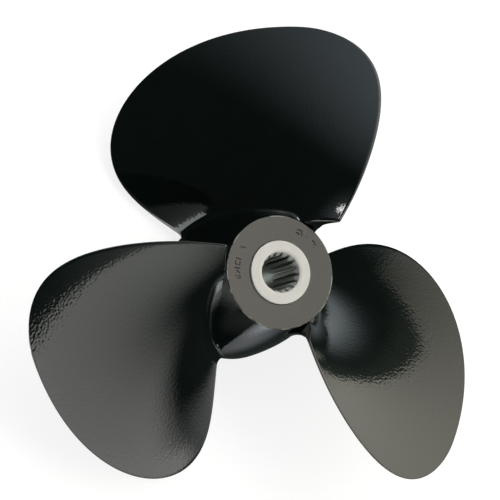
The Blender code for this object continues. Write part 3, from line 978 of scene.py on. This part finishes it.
def make_stage():
    """Wide level disc just under the hub's forward end, and a far pale dome that only shows.

    The dome is a quarter circle turned about the vertical, seen from inside.
    """
    angle = np.arange(STAGE_SIDES) * 2.0 * math.pi / STAGE_SIDES
    rim = turned_points(STAGE_RADIUS, FLOOR_HEIGHT, angle)
    floor = solid_from("floor", rim, np.arange(STAGE_SIDES)[None, :], floor_paint())
    floor.visible_glossy = False
    rise = np.linspace(0.0, 0.5 * math.pi, DOME_ROWS)[:, None]
    bow = turned_points(STAGE_RADIUS * np.cos(rise), STAGE_RADIUS * np.sin(rise), angle[None, :])
    faces = ring_faces(DOME_ROWS, STAGE_SIDES)[: (DOME_ROWS - 1) * STAGE_SIDES]
    dome = solid_from("backdrop", bow.reshape(-1, 3), faces, backdrop_paint())
    for sight in ("glossy", "diffuse", "shadow", "transmission", "volume_scatter"):
        setattr(dome, f"visible_{sight}", False)


def make_studio():
    """Surroundings that the gloss shows: soft boards and glows round a dark camera side.

    A board is a product of soft half planes, a glow fades with the distance from its middle,
    and all of them are added to a dim even light.
    """
    world = bpy.data.worlds.new("studio")
    world.use_nodes = True
    bpy.context.scene.world = world
    tree = world.node_tree
    tree.nodes.clear()
    output = tree.nodes.new("ShaderNodeOutputWorld")
    place = add(tree, "ShaderNodeTexCoord")
    split = add(tree, "ShaderNodeSeparateXYZ", {"Vector": (place, "Generated")})

    def spread(sense):
        """Place on the plane of a direction in the sky (+1) or in the ground (-1).

        The margin over 1 keeps the division finite at the pole opposite.
        """
        under = add(tree, "ShaderNodeMath", {0: (split, "Z"), 1: sense, 2: POLE_MARGIN},
                    operation="MULTIPLY_ADD")
        over = add(tree, "ShaderNodeMath", {0: 1.0, 1: (under, 0)}, operation="DIVIDE")
        return add(tree, "ShaderNodeVectorMath", {0: (place, "Generated"), "Scale": (over, 0)},
                   operation="SCALE")

    def board(plane, light, borders):
        """Level inside all borders: full where the distance from the plane's middle, measured
        along the border's turn, exceeds its place."""
        level = None
        for turn, where, soft in borders:
            towards = (math.cos(math.radians(turn)), math.sin(math.radians(turn)), 0.0)
            along = add(tree, "ShaderNodeVectorMath", {0: (plane, 0), 1: towards},
                        operation="DOT_PRODUCT")
            inside = add(tree, "ShaderNodeMapRange",
                         {"Value": (along, "Value"), "From Min": where - soft,
                          "From Max": where + soft}, interpolation_type="SMOOTHSTEP")
            level = add(tree, "ShaderNodeMath",
                        {0: (inside, 0), 1: (level, 0) if level else light}, operation="MULTIPLY")
        return level

    def glow(plane, light, middle, reach):
        """Level that fades smoothly from a middle to nothing at its reach."""
        flat = add(tree, "ShaderNodeVectorMath", {0: (plane, 0), 1: (1.0, 1.0, 0.0)},
                   operation="MULTIPLY")
        away = add(tree, "ShaderNodeVectorMath", {0: (flat, 0), 1: (*middle, 0.0)},
                   operation="DISTANCE")
        return add(tree, "ShaderNodeMapRange",
                   {"Value": (away, "Value"), "From Min": 0.0, "From Max": reach,
                    "To Min": light, "To Max": 0.0}, interpolation_type="SMOOTHSTEP")

    sky = spread(1.0)
    ground = spread(-1.0)
    lights = [(board(sky, light, borders), colour) for light, colour, borders in BOARDS]
    for plane, glows in ((sky, SKY_GLOWS), (ground, GROUND_GLOWS)):
        lights += [(glow(plane, light, middle, reach), colour)
                   for light, colour, middle, reach in glows]
    total = DIM_LIGHT
    for level, colour in lights:
        tinted = add(tree, "ShaderNodeVectorMath",
                     {0: linear(colour)[:3], "Scale": (level, 0)}, operation="SCALE")
        added = add(tree, "ShaderNodeVectorMath", {0: total, 1: (tinted, 0)}, operation="ADD")
        total = (added, 0)
    back = add(tree, "ShaderNodeBackground", {"Color": total})
    tree.links.new(back.outputs["Background"], output.inputs["Surface"])


def main():
    """Make the pieces, the studio and the camera, and hand the pieces to the frame."""
    make_camera()
    make_studio()
    make_stage()
    bpy.context.scene.view_settings.view_transform = "Standard"
    pieces = make_blades(black_paint()) + [make_hub(hub_paint())]
    for piece in pieces:
        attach(piece, "root")
        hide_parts("propeller_casting")
    sleeve = make_sleeve(pale_alloy())
    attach(sleeve, "root")
    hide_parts("splined_sleeve")
    bush = make_bush(moulded_rubber())
    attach(bush, "root")
    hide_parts("rubber_bush")


main()
